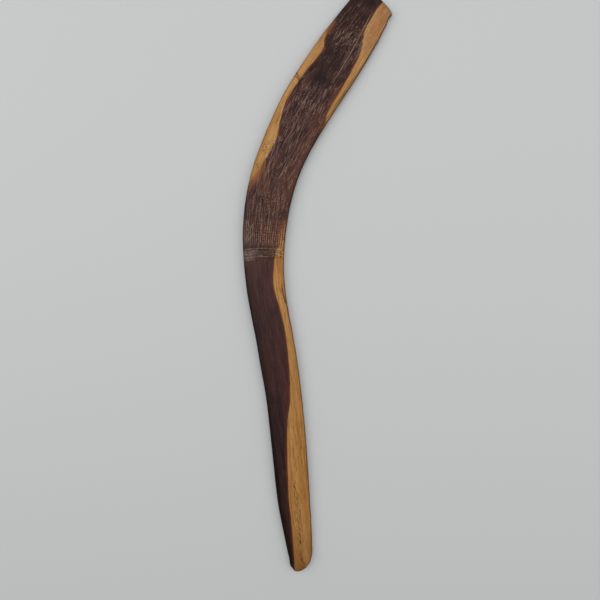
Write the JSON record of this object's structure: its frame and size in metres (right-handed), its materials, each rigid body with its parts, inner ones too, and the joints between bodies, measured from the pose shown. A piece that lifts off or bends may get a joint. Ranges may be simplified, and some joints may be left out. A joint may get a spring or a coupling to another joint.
{
  "type": "boomerang",
  "caption": "Long, gently bent one-piece hardwood boomerang with a convex incised face, a flat back and pale sapwood along its edges.",
  "frame": {"origin": "middle of the plan's bounding box, on the flat back", "axes": "+Y runs along the length towards the broad, incised end; +X points to the inner, concave side of the bend; +Z points out of the convex face"},
  "size_m": [0.1716, 0.6712, 0.012],
  "materials": {
    "heartwood": "dark red-brown desert hardwood, smoothed by hand, rubbed to a soft satin",
    "sapwood": "pale gold sapwood, smoothed by hand, rubbed to a soft satin"
  },
  "bodies": {
    "root": {"heartwood_blade": "heartwood", "sapwood_outer_upper": "sapwood", "sapwood_inner_upper": "sapwood", "sapwood_inner_lower": "sapwood"}
  },
  "joints": []
}
